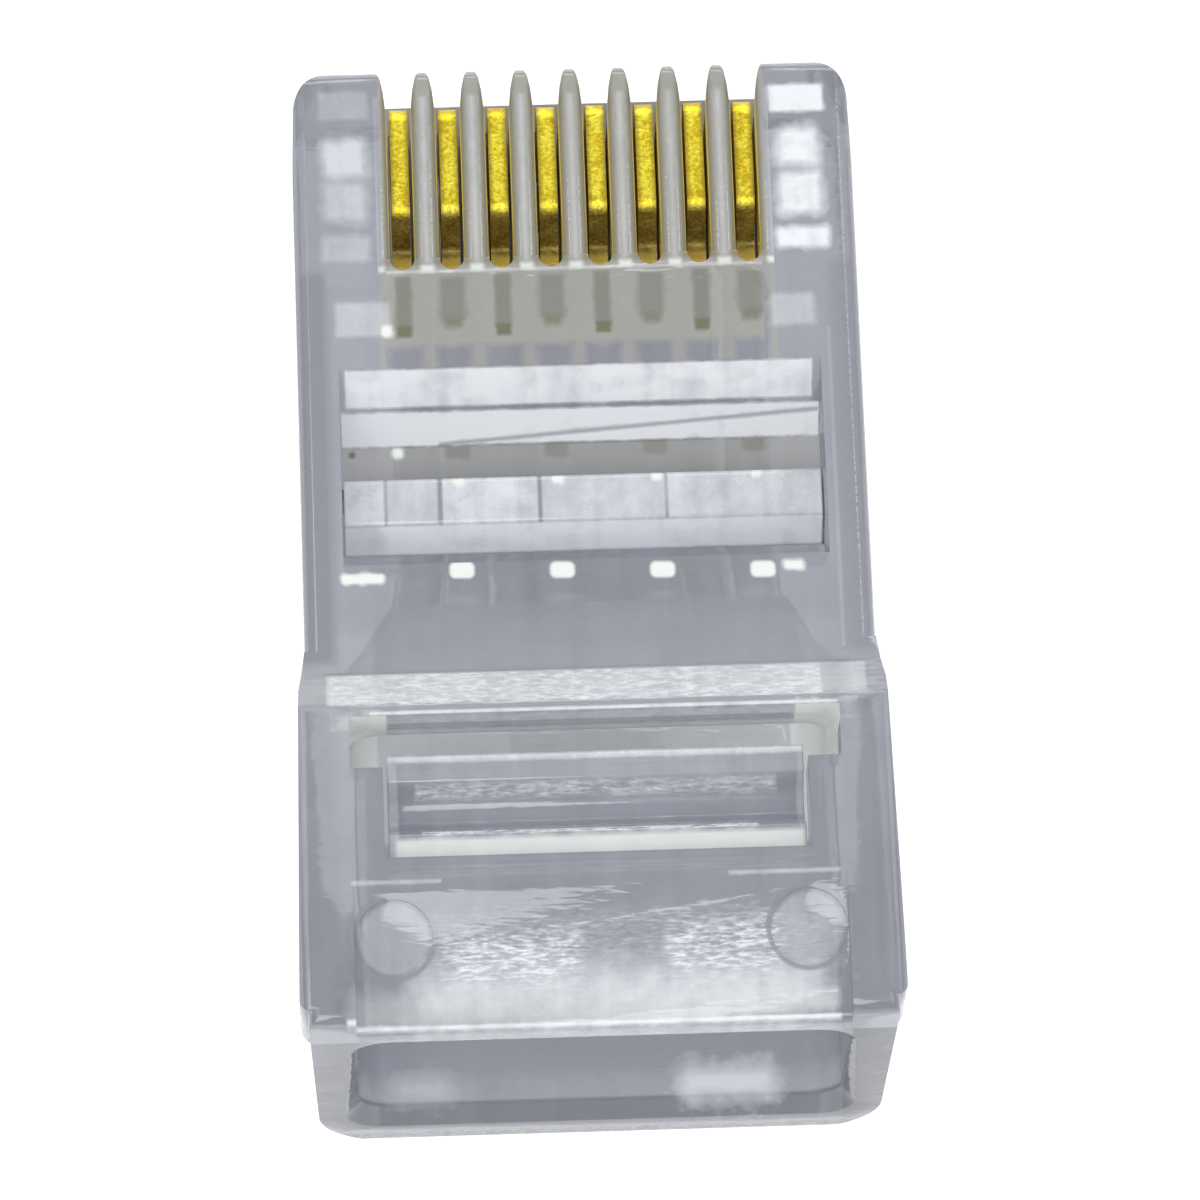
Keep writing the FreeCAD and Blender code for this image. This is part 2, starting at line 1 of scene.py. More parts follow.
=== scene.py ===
"""Looks of the clear modular plug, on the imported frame."""
import collections
import math

import bmesh
import bpy
from mathutils import Matrix, Vector


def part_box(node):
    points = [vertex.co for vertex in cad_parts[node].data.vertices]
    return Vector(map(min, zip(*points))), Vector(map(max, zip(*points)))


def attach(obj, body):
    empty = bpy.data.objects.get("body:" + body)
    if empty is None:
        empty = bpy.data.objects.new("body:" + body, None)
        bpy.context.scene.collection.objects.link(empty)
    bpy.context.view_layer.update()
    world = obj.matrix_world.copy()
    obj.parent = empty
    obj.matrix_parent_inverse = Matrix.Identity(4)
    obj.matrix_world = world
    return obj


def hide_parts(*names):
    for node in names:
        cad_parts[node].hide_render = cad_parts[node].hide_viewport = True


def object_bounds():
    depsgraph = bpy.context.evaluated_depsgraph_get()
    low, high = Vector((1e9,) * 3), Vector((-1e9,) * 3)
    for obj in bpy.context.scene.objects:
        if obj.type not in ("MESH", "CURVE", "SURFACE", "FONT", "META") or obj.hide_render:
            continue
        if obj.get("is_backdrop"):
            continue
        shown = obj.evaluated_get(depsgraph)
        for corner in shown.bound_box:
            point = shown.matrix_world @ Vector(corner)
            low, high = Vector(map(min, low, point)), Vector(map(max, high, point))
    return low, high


MM = 0.001

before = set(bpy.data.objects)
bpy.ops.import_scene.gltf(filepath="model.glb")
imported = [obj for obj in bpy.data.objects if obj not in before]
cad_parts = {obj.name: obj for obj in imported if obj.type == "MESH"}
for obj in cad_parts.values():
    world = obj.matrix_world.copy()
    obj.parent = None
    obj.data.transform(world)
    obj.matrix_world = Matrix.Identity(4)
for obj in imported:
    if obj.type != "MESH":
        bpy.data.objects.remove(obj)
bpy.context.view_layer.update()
scene = bpy.context.scene
scene.view_settings.view_transform = "Standard"


def span(node):
    """Depths of a node's front and back behind the nose face, its half width and top, in mm."""
    low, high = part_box(node)
    return -high.y / MM, -low.y / MM, high.x / MM, high.z / MM


# Places in millimetres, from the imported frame: depth behind the nose face, half width, height

BLADE_FRONT = span("contact_1")[0]
BAR_FRONT, BAR_BACK, BAR_HALF, BAR_TOP = span("wire_clamp")
CRIMP_FRONT, CRIMP_BACK, CRIMP_HALF, CRIMP_TOP = span("cable_clamp")
PITCH = (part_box("contact_2")[0].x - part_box("contact_1")[0].x) / MM
LENGTH = span("housing")[1]
TOP = 3.3                        # contact side of the front part
RAISED = span("housing")[3]      # contact side of the cable end
TROUGH_FLOOR = BAR_TOP - 0.75
RAMP_BACK = BAR_FRONT - 0.92
RAMP_KNEE = RAMP_BACK - 0.49
RAMP_FRONT = RAMP_BACK - 1.08
STEP_BACK = CRIMP_FRONT - 0.9
STEP_FRONT = STEP_BACK - 0.95
PLATE_FRONT = CRIMP_BACK + 0.35


# Materials


class Nodes:
    """Short calls for building one material's node tree."""

    def __init__(self, name):
        self.mat = bpy.data.materials.new(name)
        self.mat.use_nodes = True
        self.tree = self.mat.node_tree
        self.tree.nodes.clear()
        self.out = self.tree.nodes.new("ShaderNodeOutputMaterial")

    def add(self, kind, inputs=None, **props):
        """A shader node whose inputs are set to values or linked to other nodes' sockets."""
        node = self.tree.nodes.new("ShaderNode" + kind)
        for key, value in props.items():
            setattr(node, key, value)
        for key, value in (inputs or {}).items():
            if isinstance(value, bpy.types.NodeSocket):
                self.tree.links.new(value, node.inputs[key])
            else:
                node.inputs[key].default_value = value
        return node

    def math(self, op, a, b=0.0):
        return self.add("Math", {0: a, 1: b}, operation=op).outputs[0]

    def vector(self, op, a, b=(0, 0, 0)):
        return self.add("VectorMath", {0: a, 1: b}, operation=op).outputs[0]

    def noise(self, scale, detail, vector, distortion=0.0):
        inputs = {"Scale": scale, "Detail": detail, "Vector": vector, "Distortion": distortion}
        return self.add("TexNoise", inputs).outputs["Fac"]

    def ramp(self, value, low, high, to_low=0.0, to_high=1.0):
        limits = {"From Min": low, "From Max": high, "To Min": to_low, "To Max": to_high}
        return self.add("MapRange", {"Value": value, **limits}).outputs[0]

    def blend(self, share, first, second):
        node = self.add("Mix", {0: share, 6: first, 7: second}, data_type="RGBA")
        return node.outputs[2]

    def lets_lamps_through(self, shader, tint):
        """Light from the lamps passes the clear plastic instead of casting a full shadow."""
        shadow = self.add("LightPath").outputs["Is Shadow Ray"]
        open_way = self.add("BsdfTransparent", {"Color": tint})
        both = self.add("MixShader", {0: shadow, 1: shader, 2: open_way.outputs[0]})
        self.tree.links.new(both.outputs[0], self.out.inputs[0])

    def position(self):
        """The point in the piece's own frame, in millimetres."""
        place = self.add("TexCoord").outputs["Object"]
        return self.add("VectorMath", {0: place, "Scale": 1 / MM}, operation="SCALE").outputs[0]

    def inside(self, point, patch, noise, beyond_comb):
        """1 inside a patch's box, fading out over its soft edge, which a noise makes uneven."""
        centre = Vector([(low + high) / 2 for low, high in (patch.x, patch.depth, patch.z)])
        half = [(high - low) / 2 for low, high in (patch.x, patch.depth, patch.z)]
        where = point
        if patch.skew:
            across = self.add("SeparateXYZ", {0: point}).outputs[0]
            lean = self.add("CombineXYZ", {1: self.math("MULTIPLY", across, patch.skew)}).outputs[0]
            where = self.vector("ADD", where, lean)
        if patch.every:
            reach = patch.every * PITCH / 2
            low, high = (centre.x - reach, -FAR, -FAR), (centre.x + reach, FAR, FAR)
            where = self.add("VectorMath", {0: where, 1: high, 2: low}, operation="WRAP").outputs[0]
        away = self.vector("SUBTRACT", where, (centre.x, -centre.y, centre.z))
        away = self.vector("SUBTRACT", self.vector("ABSOLUTE", away), half)
        away = self.vector("MAXIMUM", away, (0, 0, 0))
        out = self.add("VectorMath", {0: away}, operation="LENGTH").outputs[1]
        if patch.every:
            out = self.math("ADD", out, beyond_comb)
        if patch.uneven:
            out = self.math("MULTIPLY", out, noise)
        return self.ramp(out, 0.0, patch.soft, patch.share, 0.0)

    def ring(self, point, centre, inner, outer, soft, share):
        """A band between two circles seen from above, as share of 1."""
        away = self.vector("SUBTRACT", point, (centre[0], -centre[1], 0))
        flat = self.vector("MULTIPLY", away, (1, 1, 0))
        reach = self.add("VectorMath", {0: flat}, operation="LENGTH").outputs[1]
        middle, half = (inner + outer) / 2, (outer - inner) / 2
        off = self.math("ABSOLUTE", self.math("SUBTRACT", reach, middle))
        off = self.math("SUBTRACT", off, half)
        height = self.add("SeparateXYZ", {0: point}).outputs[2]
        off = self.math("MAXIMUM", off, self.math("SUBTRACT", RING_LOWEST, height))
        return self.ramp(off, 0.0, soft, share, 0.0)


FAR = 100.0                      # beyond the plug, for a patch that repeats only across
COMB_HALF, COMB_FADE = 4 * PITCH, 10.0    # repeating patches stop there, and how sharply
RING_LOWEST = TOP - 0.2          # rings are only on the contact side
CLEAR = (0.445, 0.455, 0.49)
DARKER, LIGHTER = 0.93, 1.05     # the clear plastic's own unevenness
LAMP_TINT = (0.72, 0.73, 0.76, 1)
PLASTIC_IOR = 1.58
OPEN, COVERED = 0.5, 0.1         # transmission, and what a full patch leaves of it
SMOOTH, ROUGH = 0.05, 0.12       # range of the clear plastic's roughness
TYPICAL_ROUGH = 0.1
PLASTIC_BUMP, PLASTIC_BUMP_DEPTH = 0.3, 0.00005
GOLD_BUMP, GOLD_BUMP_DEPTH = 0.6, 0.00003
GOLD_DULL, GOLD_BRIGHT = (0.78, 0.56, 0.03, 1), (1.0, 0.88, 0.08, 1)
# painted shade for the blades' rims and slope, and a painted highlight for the ledge
GOLD_RIM_SHADE, GOLD_LEDGE_HIGHLIGHT = (0.34, 0.23, 0.035, 1), (0.68, 0.52, 0.12, 1)
SLOPE_SHADE_DARK, SLOPE_SHADE_LIGHT = (0.2, 0.15, 0.035, 1), (0.4, 0.31, 0.09, 1)
BLADE_SLOPE, BLADE_LEDGE = BLADE_FRONT + 2.4, BLADE_FRONT + 3.0

# What a patch shows: its colour, how much rougher it is than the clear plastic, and how streaky.
# Looks are laid over each other in this order.
LOOKS = {
    "warm": ((0.45, 0.435, 0.36, 1), 0.0, 0.0),
    # painted shade of the wire pockets that show through, and of their ends
    "pocket_shade": ((0.27, 0.265, 0.225, 1), 0.0, 0.0),
    "pocket_end_shade": ((0.2, 0.2, 0.12, 1), 0.0, 0.0),
    # frost, and painted highlights
    "frost": ((0.96, 0.97, 0.98, 1), 0.3, 0.4),
    "scuffed": ((0.97, 0.98, 0.98, 1), 0.3, 1.0),
    # painted glow
    "glow": ((0.97, 0.99, 0.92, 1), 0.1, 0.1),
    # painted shade beside the blades
    "amber_shade": ((0.3, 0.27, 0.17, 1), 0.0, 0.0),
    # painted reflection of the gold on the slots' walls
    "brass_reflection": ((0.8, 0.64, 0.12, 1), 0.0, 0.0),
    "shade": ((0.29, 0.3, 0.33, 1), 0.0, 0.0),
    # deeper painted shade
    "deep_shade": ((0.1, 0.105, 0.12, 1), 0.0, 0.0),
    "glint": ((0.97, 0.98, 0.98, 1), 0.3, 0.0),
}
# A patch is a box in mm. share is how far its look covers what lies under it (above 1 its edge is
# firmer too), soft how wide its edge is, uneven whether a noise moves that edge, every how many
# pitches apart it repeats across the comb (0: it doesn't), and skew how far its depth leans for
# each millimetre of x.
Patch = collections.namedtuple(
    "Patch", "look x depth z share soft uneven every skew", defaults=(0.1, True, 0, 0.0)
)


def clear_plastic(name, patches, rings):
    """Clear plastic, with rough faces, painted highlights and shade, and what shows through it, as
    patches.
    """
    n = Nodes(name)
    point = n.position()
    ripple = n.noise(0.9, 3.0, point)
    grain = n.noise(9.0, 4.0, point)
    # drawn out across the plug, and along it
    across_it = n.vector("MULTIPLY", point, (0.6, 3.0, 1.0))
    streaks = n.noise(3.0, 5.0, across_it, 0.6)
    columns = n.noise(2.6, 2.0, n.vector("MULTIPLY", point, (1.0, 0.06, 0.06)))
    tone = n.ramp(n.math("ADD", ripple, columns), 0.7, 1.3)
    darker, lighter = [[c * by for c in CLEAR] + [1] for by in (DARKER, LIGHTER)]
    colour = n.blend(tone, darker, lighter)
    rough = n.ramp(grain, 0.3, 0.7, SMOOTH, ROUGH)
    clear, height = OPEN, ripple
    masks = {}
    if patches:
        edge_noise = n.ramp(n.noise(3.0, 3.0, point), 0.3, 0.7, 0.75, 1.35)
        off_middle = n.math("ABSOLUTE", n.add("SeparateXYZ", {0: point}).outputs[0])
        beyond_comb = n.math("MULTIPLY", n.math("SUBTRACT", off_middle, COMB_HALF), COMB_FADE)
        beyond_comb = n.math("MAXIMUM", beyond_comb, 0.0)
        blotches = n.math("ADD", n.noise(2.0, 3.0, point), n.math("MULTIPLY", columns, 0.8))
        even = n.ramp(n.math("ADD", blotches, n.math("MULTIPLY", grain, 0.3)), 0.75, 1.35)
        scratches = n.noise(11.0, 5.0, n.vector("MULTIPLY", point, (0.4, 1.6, 1.0)), 0.3)
        harsh = n.math("ADD", scratches, n.math("MULTIPLY", streaks, 0.5))
        harsh = n.ramp(harsh, 0.6, 1.02, 0.1, 1.0)
    marks = [(patch.look, n.inside(point, patch, edge_noise, beyond_comb)) for patch in patches]
    marks += [(look, n.ring(point, *band)) for look, *band in rings]
    for look, here in marks:
        masks[look] = n.math("MAXIMUM", masks[look], here) if look in masks else here
    cover = None
    for look, (shade, extra, streaky) in LOOKS.items():
        if look not in masks:
            continue
        here = masks[look]
        if streaky == 1.0:
            here = n.math("MULTIPLY", here, harsh)
        elif streaky:
            here = n.math("MULTIPLY", here, n.ramp(even, 0.0, 1.0, 1.0 - streaky, 1.0))
        colour = n.blend(here, colour, shade)
        cover = here if cover is None else n.math("MAXIMUM", cover, here)
        if extra:
            rough = n.math("MAXIMUM", rough, n.math("MULTIPLY", here, extra + TYPICAL_ROUGH))
    if masks:
        clear = n.ramp(cover, 0.0, 1.0, OPEN, COVERED)
        # the masks stay out of the height: the housing rendered black when they fed it
        height = n.math("ADD", ripple, n.math("MULTIPLY", n.noise(3.0, 1.0, across_it, 0.3), 0.5))
    bump = n.add(
        "Bump", {"Strength": PLASTIC_BUMP, "Distance": PLASTIC_BUMP_DEPTH, "Height": height}
    )
    shader = n.add(
        "BsdfPrincipled",
        {
            "Base Color": colour,
            "Roughness": rough,
            "IOR": PLASTIC_IOR,
            "Transmission Weight": clear,
            "Normal": bump.outputs[0],
        },
    )
    n.lets_lamps_through(shader.outputs[0], LAMP_TINT)
    return n.mat


def gold():
    """Gold plating: grainy crown, painted shade on the slope behind it and a painted highlight on
    the ledge at the back.
    """
    n = Nodes("contact_gold")
    point = n.position()
    fine = n.noise(14.0, 6.0, point)
    broad = n.noise(3.2, 4.0, point)
    bump = n.add("Bump", {"Strength": GOLD_BUMP, "Distance": GOLD_BUMP_DEPTH, "Height": fine})
    bright = n.math("ADD", broad, n.math("MULTIPLY", fine, 0.8))
    colour = n.blend(n.ramp(bright, 0.75, 1.0), GOLD_DULL, GOLD_BRIGHT)
    x, y, _ = n.add("SeparateXYZ", {0: point}).outputs
    depth = n.math("ADD", n.math("MULTIPLY", y, -1.0), n.math("MULTIPLY", broad, 0.2))
    # painted shade: darker towards the blade's sides and front end
    centre = FIRST + PITCH / 2
    across = n.add("Math", {0: x, 1: centre, 2: centre - PITCH}, operation="WRAP").outputs[0]
    side = n.math("ABSOLUTE", n.math("SUBTRACT", across, FIRST))
    front_end = n.ramp(depth, BLADE_FRONT + 0.3, BLADE_FRONT + 0.08)
    rim_shade = n.math("MAXIMUM", n.ramp(side, 0.08, 0.19), front_end)
    colour = n.blend(n.math("MULTIPLY", rim_shade, 0.85), colour, GOLD_RIM_SHADE)
    # painted shade on the slope behind the crown
    slope = n.ramp(depth, BLADE_SLOPE, BLADE_SLOPE + 0.2)
    slope_shade = n.blend(n.ramp(bright, 0.7, 1.1), SLOPE_SHADE_DARK, SLOPE_SHADE_LIGHT)
    colour = n.blend(slope, colour, slope_shade)
    # painted highlight on the ledge at the back
    ledge_highlight = n.ramp(depth, BLADE_LEDGE + 0.12, BLADE_LEDGE + 0.25)
    colour = n.blend(ledge_highlight, colour, GOLD_LEDGE_HIGHLIGHT)
    shader = n.add(
        "BsdfPrincipled",
        {
            "Base Color": colour,
            "Metallic": 1.0,
            "Roughness": n.ramp(fine, 0.3, 0.7, 0.34, 0.55),
            "Normal": bump.outputs[0],
        },
    )
    n.tree.links.new(shader.outputs[0], n.out.inputs[0])
    return n.mat


# Where the housing's patches are: the first two blades' x, and ranges of height and of depth

FIRST, SECOND = -3.5 * PITCH, -2.5 * PITCH

SKIN = (TOP - 0.3, TOP + 0.1)
RAISED_SKIN = (TOP + 0.15, RAISED + 0.1)
PLATE_SKIN = (TOP - 0.1, RAISED + 0.1)
STEP_SKIN = (TOP, RAISED)
IN_SLOTS = (TOP - 1.3, TOP - 0.12)
SLOT_SIDES = (TOP - 1.2, TOP + 0.1)
IN_TROUGH = (TROUGH_FLOOR - 0.3, TOP)
TROUGH_BED = (1.2, 1.6)
IN_CAVITY = (-3.3, 2.9)
WINDOW_EDGE = (1.5, RAISED - 0.05)
MOUTH_FLOOR = (-3.3, -2.0)
REAR_HEIGHT = (-3.9, 2.8)

ALONG_BLADES = (0.3, 4.35)
ALONG_RAILS = (6.0, 12.9)
OUTSIDE_RAILS = (4.6, 12.9)
CREASE = (RAMP_BACK - 0.165, RAMP_BACK - 0.15)
UNDER_WINDOW = (11.2, 15.2)
WINDOW_FRONT = (STEP_BACK + 0.1, STEP_BACK + 0.5)
PLATE_EDGE = (PLATE_FRONT, PLATE_FRONT + 0.03)
REAR_FACE = (LENGTH - 0.4, LENGTH + 0.3)


def about(x, half):
    return x - half, x + half


HOUSING_PATCHES = [
    # side blocks beside the comb: frost with painted highlights, and painted shade over the left
    # block
    Patch("frost", (-5.17, -4.25), (0.55, 1.08), SKIN, 0.5),
    Patch("frost", (-5.0, -4.42), (1.7, 2.25), SKIN, 1.3, 0.35),
    Patch("frost", (-5.03, -4.4), (2.65, 3.25), SKIN, 0.85, 0.3),
    Patch("frost", (-5.15, -4.3), (3.8, 4.2), SKIN, 0.65, 0.18),
    Patch("frost", (-5.2, -4.2), (4.4, 4.8), SKIN, 0.12),
    Patch("frost", (-4.92, -3.93), (5.25, 5.88), SKIN, 0.5, 0.12),
    Patch("glow", (-3.96, -3.92), (5.8, 5.86), SKIN, 2.0, 0.16),
    Patch("frost", (4.16, 5.2), (0.65, 1.15), SKIN, 1.2),
    Patch("frost", (4.38, 4.97), (1.72, 2.25), SKIN, 1.1, 0.35),
    Patch("frost", (4.36, 5.0), (2.68, 3.35), SKIN, 1.1, 0.3),
    Patch("frost", (4.25, 5.16), (3.86, 4.14), SKIN, 1.2, 0.18),
    Patch("frost", (4.05, 4.8), (5.3, 5.85), SKIN, 0.45, 0.15),
    Patch("shade", (-6.0, -4.05), (-0.1, 5.0), SKIN, 0.35, uneven=False),
    # rails: painted highlight lines, and painted shade on the plastic outside them
    Patch("frost", (-5.25, -5.23), ALONG_RAILS, SKIN, 0.4, 0.05),
    Patch("frost", (-5.49, -5.47), (5.1, 6.7), SKIN, 0.4, 0.04),
    Patch("frost", (5.13, 5.15), ALONG_RAILS, SKIN, 0.35, 0.05),
    Patch("shade", (-6.0, -5.25), OUTSIDE_RAILS, SKIN, 1.0, 0.25, uneven=False),
    Patch("shade", (5.25, 6.0), OUTSIDE_RAILS, SKIN, 0.7, 0.25, uneven=False),
    # comb: grey ridges, painted reflection of the gold in the slots, painted shade along the
    # blades, and a painted highlight line along the middle and at the back end
    Patch("warm", (-3.95, 3.95), (-0.3, 4.5), (TOP - 2.2, TOP + 0.1), 0.8, uneven=False),
    Patch("brass_reflection", about(FIRST, 0.26), ALONG_BLADES, IN_SLOTS, 1.0, 0.04, uneven=False, every=1),
    Patch("amber_shade", (FIRST + 0.15, FIRST + 0.31), ALONG_BLADES, SLOT_SIDES, 0.75, every=1),
    Patch("amber_shade", (FIRST + 0.71, FIRST + 0.87), ALONG_BLADES, SLOT_SIDES, 0.75, every=1),
    Patch("frost", (FIRST + 0.5, FIRST + 0.52), (0.7, 4.3), SKIN, 0.4, every=1),
    Patch("glow", (FIRST + 0.42, FIRST + 0.6), (4.44, 4.5), SKIN, 0.9, every=1),
    # backs of the slots, and the wire channels' ends that show through behind them as painted
    # shade, with a painted highlight line at their front
    Patch("warm", (-3.9, 3.75), (4.5, 6.1), SKIN, 0.75, 0.2),
    Patch("warm", (FIRST + 0.45, FIRST + 0.57), (4.5, 6.6), SKIN, 0.6, 0.2, every=1),
    Patch("pocket_shade", about(FIRST, 0.1), (4.7, 5.75), SKIN, 1.0, 0.13, every=2),
    Patch("pocket_end_shade", about(FIRST, 0.1), (5.78, 5.93), SKIN, 1.1, every=2),
    Patch("pocket_shade", (SECOND - 0.2, SECOND + 0.17), (4.75, 5.55), SKIN, 0.8, 0.16, every=2),
    Patch("pocket_end_shade", (SECOND - 0.12, SECOND + 0.1), (5.64, 5.72), SKIN, 0.7, 0.16, every=2),
    Patch("frost", (-3.9, 3.8), (4.53, 4.55), SKIN, 0.5, 0.05),
    # ramp in front of the wire clamp: frost with painted highlight on both facets, the gap between
    # them as its knee line, and painted shade along its crease
    Patch("frost", (-4.8, 4.75), (RAMP_FRONT + 0.05, RAMP_KNEE - 0.06), IN_TROUGH, 1.15, 0.05),
    Patch("frost", (-4.9, 4.9), (RAMP_KNEE + 0.06, RAMP_BACK - 0.05), IN_TROUGH, 1.4, 0.05),
    Patch("shade", (-2.9, 4.9), CREASE, IN_TROUGH, 0.7, 0.04, skew=-0.042),
    # trough floor and what shows through it: painted shade of the pockets, and a painted highlight
    # dot
    Patch("warm", (-4.9, 4.9), (RAMP_BACK + 0.03, BAR_FRONT + 0.3), (1.2, TROUGH_FLOOR + 0.1), 0.5),
    Patch("pocket_shade", (SECOND - 0.15, SECOND + 0.18), (7.72, 7.9), TROUGH_BED, 0.75, 0.15, every=2),
    Patch("glow", (-3.79, -3.75), (7.81, 7.85), TROUGH_BED, 1.6, 0.16),
    Patch("pocket_end_shade", (-4.73, -4.72), (7.84, 7.86), TROUGH_BED, 1.8),
    # the trough's back edge through the contact side: a painted shade line and painted highlight
    # spots
    Patch("pocket_shade", (-4.05, 3.9), (11.13, 11.15), SKIN, 0.6, 0.07, skew=0.025),
    Patch(
        "glow", about(SECOND, 0.13), (11.08, 11.18), SKIN, 2.5, 0.16,
        uneven=False, every=2, skew=0.025,
    ),
    Patch("glow", (-4.92, -4.2), (11.17, 11.22), SKIN, 1.6, 0.14),
    Patch("glow", (4.08, 4.32), (11.13, 11.17), SKIN, 1.5, 0.16),
    # step up to the cable end: frost and scuffs, painted shade along its front edge and a painted
    # highlight line behind it
    Patch("frost", (-5.35, 5.5), (STEP_FRONT + 0.1, STEP_BACK - 0.08), STEP_SKIN, 0.55, 0.06),
    Patch("scuffed", (-5.3, 4.6), (STEP_FRONT + 0.12, STEP_BACK - 0.06), STEP_SKIN, 1.2, 0.06),
    Patch("shade", (-5.4, 5.5), (STEP_FRONT, STEP_FRONT + 0.04), (TOP - 0.1, RAISED), 0.5, 0.05),
    Patch("frost", (-4.5, 4.9), (STEP_BACK + 0.14, STEP_BACK + 0.18), RAISED_SKIN, 0.9, 0.04),
    # inside of the cavity where the window shows it, and the window's front corners, lit by painted
    # glow
    Patch("glow", (-5.3, -4.4), UNDER_WINDOW, IN_CAVITY, 1.0, 0.15),
    Patch("glow", (4.3, 5.3), UNDER_WINDOW, IN_CAVITY, 1.0, 0.15),
    Patch("glow", (-4.35, 4.25), (11.2, 15.0), IN_CAVITY, 0.55, 0.2),
    Patch("glow", (-5.3, -4.2), WINDOW_FRONT, WINDOW_EDGE, 1.0, 0.06),
    Patch("glow", (4.1, 5.3), WINDOW_FRONT, WINDOW_EDGE, 1.0, 0.06),
    # land behind the cable clamp with a painted shade line, and the edge where the plate starts
    # with painted highlights
    Patch("shade", (-4.2, 4.2), (CRIMP_BACK + 0.25, CRIMP_BACK + 0.28), RAISED_SKIN, 0.4, 0.06),
    Patch("frost", (-4.95, -3.2), PLATE_EDGE, RAISED_SKIN, 0.55, 0.06),
    Patch("frost", (2.6, 4.8), PLATE_EDGE, RAISED_SKIN, 0.55, 0.06),
    # sloped rear plate: scuffs and frost, painted glow, and a painted highlight along its rear edge
    Patch("scuffed", (-2.9, -0.6), (LENGTH - 1.9, LENGTH - 1.3), PLATE_SKIN, 1.2, 0.6),
    Patch("scuffed", (1.5, 3.4), (LENGTH - 2.1, LENGTH - 1.4), PLATE_SKIN, 1.2, 0.6),
    Patch("scuffed", (-3.4, 4.4), (LENGTH - 2.3, LENGTH - 0.9), PLATE_SKIN, 0.4, 0.5),
    Patch("frost", (-3.4, 4.0), (LENGTH - 1.1, LENGTH - 0.8), PLATE_SKIN, 0.75, 0.9),
    Patch("glow", (-4.9, 3.7), (LENGTH - 0.85, LENGTH - 0.55), PLATE_SKIN, 0.3, 0.4),
    Patch("glow", (4.1, 4.65), (LENGTH - 0.87, LENGTH - 0.6), PLATE_SKIN, 0.45, 0.14),
    Patch("frost", (-5.1, 4.7), (LENGTH - 0.37, LENGTH - 0.34), PLATE_SKIN, 1.2, 0.08),
    # cable mouth and rear face: painted shade inside the mouth, painted glints on its floor, and
    # deeper painted shade on the rear face
    Patch("shade", (-4.9, 4.9), (LENGTH - 2.5, LENGTH - 1.1), (-3.3, 2.6), 0.6, 0.4),
    Patch("glint", (1.9, 3.4), (LENGTH - 0.75, LENGTH - 0.6), MOUTH_FLOOR, 0.7, 0.55),
    Patch("glint", (-4.0, -3.3), (LENGTH - 0.75, LENGTH - 0.65), MOUTH_FLOOR, 0.3, 0.5),
    Patch("deep_shade", (-6.2, 5.0), REAR_FACE, REAR_HEIGHT, 0.6, 0.06, uneven=False),
    Patch("deep_shade", (5.0, 6.2), REAR_FACE, REAR_HEIGHT, 0.85, 0.06, uneven=False),
]
EJECTOR_MARKS = [(x, LENGTH - 2.13) for x in (-4.15, 4.15)]
# each ejector mark gets a painted light inside and a ring of painted shade
HOUSING_RINGS = [
    # look, centre, inner and outer radius, soft edge, share
    *[("frost", centre, 0.0, 0.66, 0.1, 0.3) for centre in EJECTOR_MARKS],
    *[("shade", centre, 0.79, 0.84, 0.05, 0.8) for centre in EJECTOR_MARKS],
]

# The wire clamp's and the cable clamp's, in the same way

BAR_FACE = (BAR_TOP - 0.15, TOP)
BAR_SLOPE = BAR_BACK - 0.4
BAR_HOLES = (BAR_FRONT + 0.08, BAR_FRONT + 0.14)
ON_SLOPE = (BAR_SLOPE + 0.05, BAR_BACK + 0.1)
SLOPE_FACE = (TROUGH_FLOOR - 0.2, TOP)
BAR_PANELS = [
    # x range, share
    ((-BAR_HALF, -4.12), 1.0),
    ((-4.0, -3.02), 0.72),
    ((-2.86, -0.96), 0.87),
    ((-0.82, 1.65), 0.74),
    ((1.77, BAR_HALF), 0.84),
]
BAR_LINES = [(-2.95, -2.93), (-0.9, -0.88)]
# frost with painted highlights on the bar's panels, painted shade lines between them, painted glow
# at the wire holes, and frost and scuffs on its slope
WIRE_BAR_PATCHES = [
    *[Patch("frost", x, (BAR_FRONT - 0.1, BAR_SLOPE), BAR_FACE, share) for x, share in BAR_PANELS],
    *[Patch("shade", x, (BAR_FRONT, BAR_SLOPE), BAR_FACE, 0.8, 0.05) for x in BAR_LINES],
    Patch("glow", about(SECOND, 0.04), BAR_HOLES, BAR_FACE, 1.6, 0.14, every=2),
    Patch("frost", (-5, 5), ON_SLOPE, SLOPE_FACE, 1.2, 0.06),
    Patch("scuffed", (-5, 5), ON_SLOPE, SLOPE_FACE, 0.8, 0.06),
]
IN_GROOVE = (1.5, RAISED)
CRIMP_EDGE = (CRIMP_FRONT - 0.1, CRIMP_FRONT + 0.16)
CRIMP_LAND = (CRIMP_FRONT + 0.2, CRIMP_FRONT + 0.58)
CRIMP_LIP = (CRIMP_BACK - 0.58, CRIMP_BACK - 0.13)
